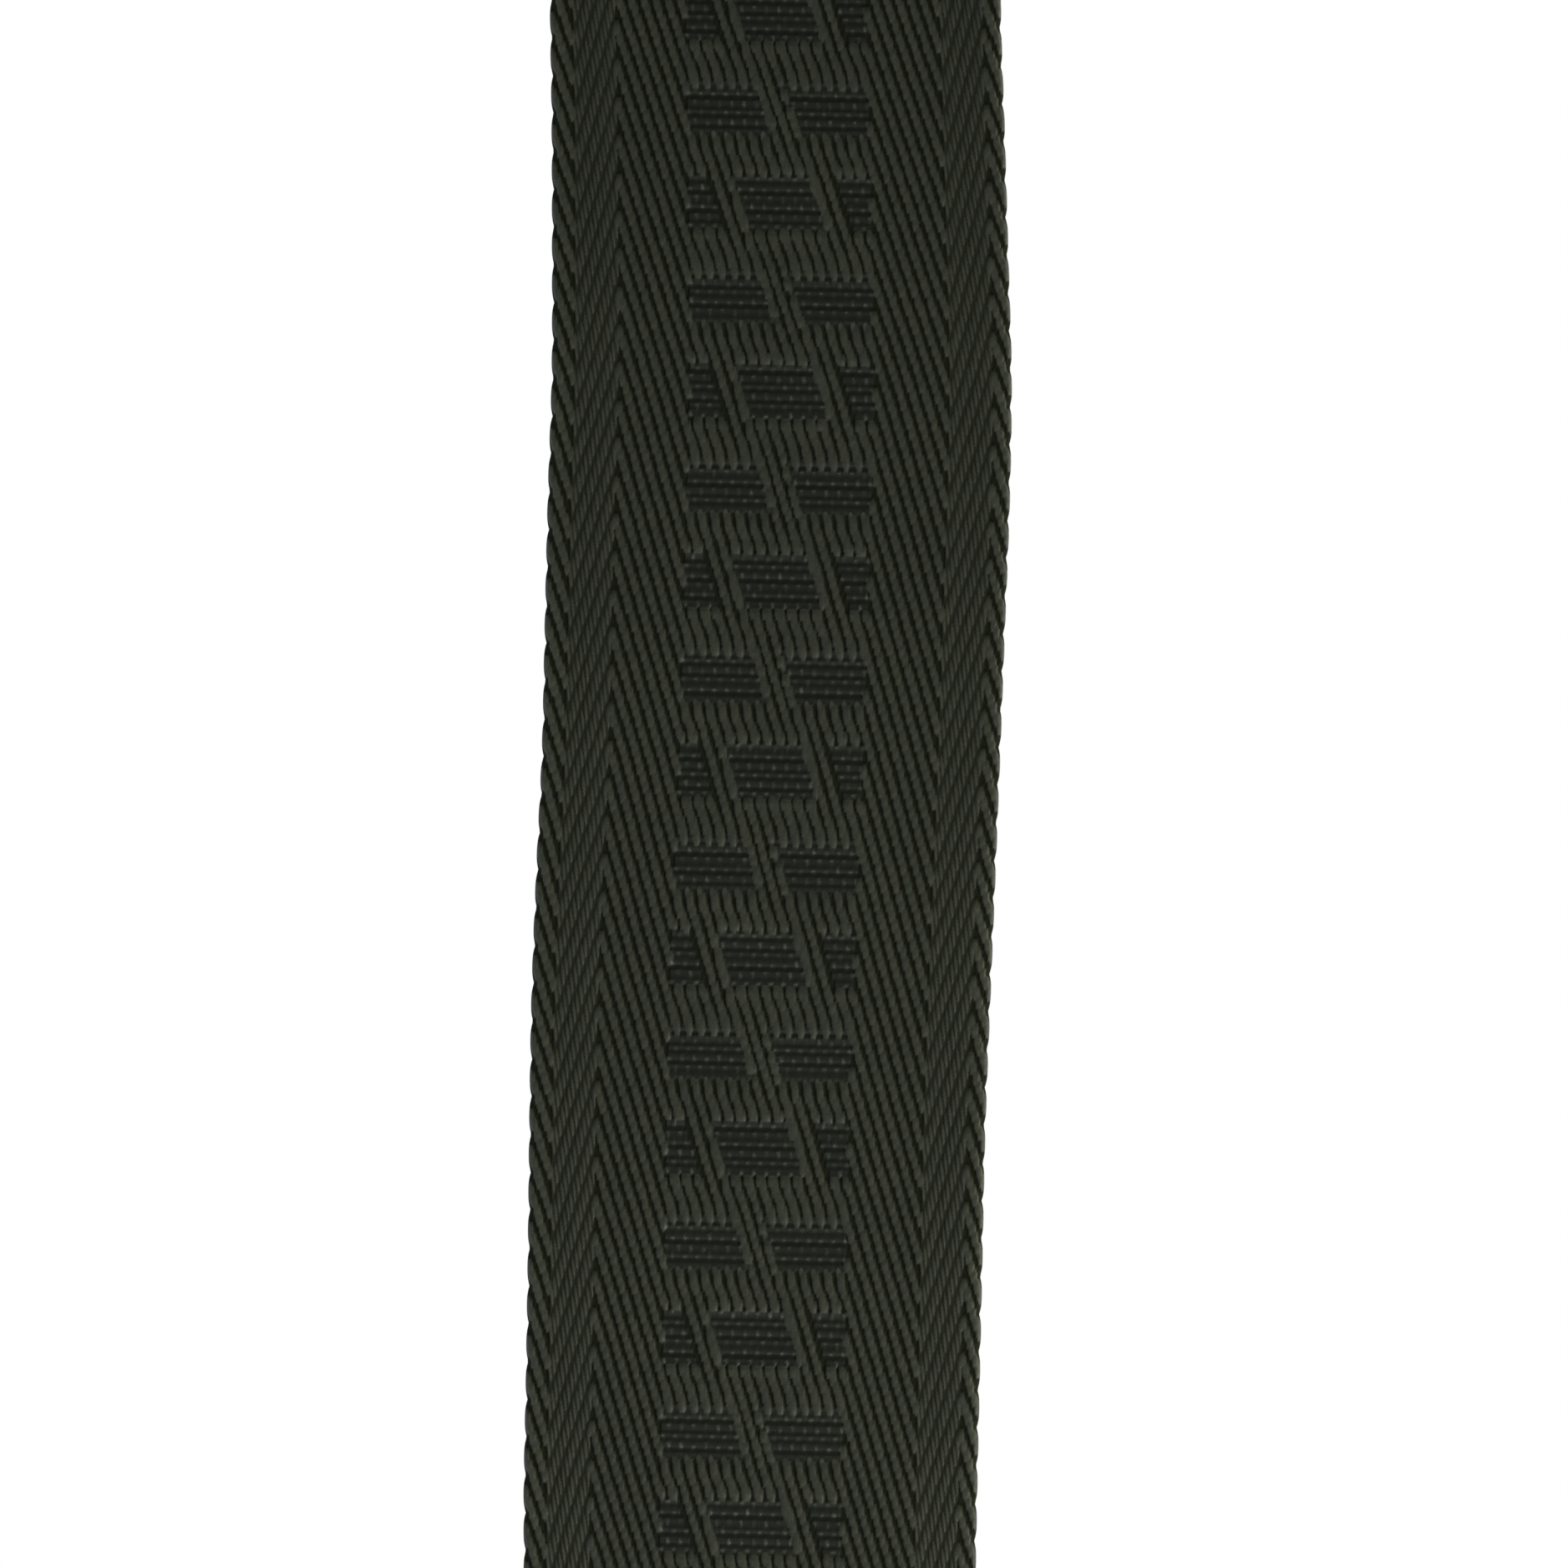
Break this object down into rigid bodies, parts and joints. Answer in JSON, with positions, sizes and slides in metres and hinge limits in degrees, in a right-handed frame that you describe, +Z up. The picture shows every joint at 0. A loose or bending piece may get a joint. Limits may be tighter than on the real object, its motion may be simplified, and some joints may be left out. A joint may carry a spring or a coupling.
{
  "type": "guitar strap",
  "caption": "Flat woven strap for a guitar: herringbone webbing with a patterned centre column, leather end tabs with button holes, and a three-bar slide and ring that set its length.",
  "frame": {"origin": "centre of the front tab's button hole, midway through the tab", "axes": "+Z up along the hanging strap, +X across the band, +Y towards the side that lies on the player"},
  "size_m": [0.062, 0.0127, 1.009],
  "materials": {
    "webbing": "dark olive ribbed weave, matt with a soft sheen",
    "leather": "black-brown grained leather, satin, burnished edges",
    "thread": "waxed olive thread",
    "hardware": "satin black enamel, worn at the edges",
    "rivet_metal": "dark nickel"
  },
  "bodies": {
    "strap": {"main_webbing": "webbing", "adjuster_run": "webbing", "front_tab_face": "leather", "front_tab_back": "leather", "front_tab_edge_stitching": "thread", "front_tab_box_stitching": "thread", "front_rivet_caps": "rivet_metal", "front_rivet_backs": "rivet_metal"},
    "adjuster_turn": {"ring_fold": "webbing", "return_run": "webbing"},
    "slide": {"tri_glide": "hardware", "webbing_end_fold": "webbing", "webbing_end_stitching": "thread"},
    "ring": {"ring": "hardware"},
    "rear_end": {"rear_webbing_loop": "webbing", "rear_tab_face": "leather", "rear_tab_back": "leather", "rear_tab_edge_stitching": "thread", "rear_tab_box_stitching": "thread", "rear_rivet_caps": "rivet_metal", "rear_rivet_backs": "rivet_metal"}
  },
  "joints": [
    {"name": "length_slide", "type": "slide", "parent": "strap", "child": "adjuster_turn", "axis": [0, 0, -1], "range_m": [-0.09, 0.28], "deforming": ["adjuster_run"]},
    {"name": "tri_glide_slide", "type": "slide", "parent": "adjuster_turn", "child": "slide", "axis": [0, 0, -1], "range_m": [-0.09, 0.28], "deforming": ["return_run"]},
    {"name": "ring_pivot", "type": "hinge", "parent": "adjuster_turn", "child": "ring", "pos_m": [0, 0.00305, -0.86], "axis": [1, 0, 0], "range_deg": [-90, 90]},
    {"name": "rear_end_pivot", "type": "hinge", "parent": "ring", "child": "rear_end", "pos_m": [0, 0.00305, -0.878], "axis": [1, 0, 0], "range_deg": [-90, 90]}
  ],
  "couplings": [
    {"joint": "tri_glide_slide", "follows": "length_slide", "ratio": 1}
  ]
}
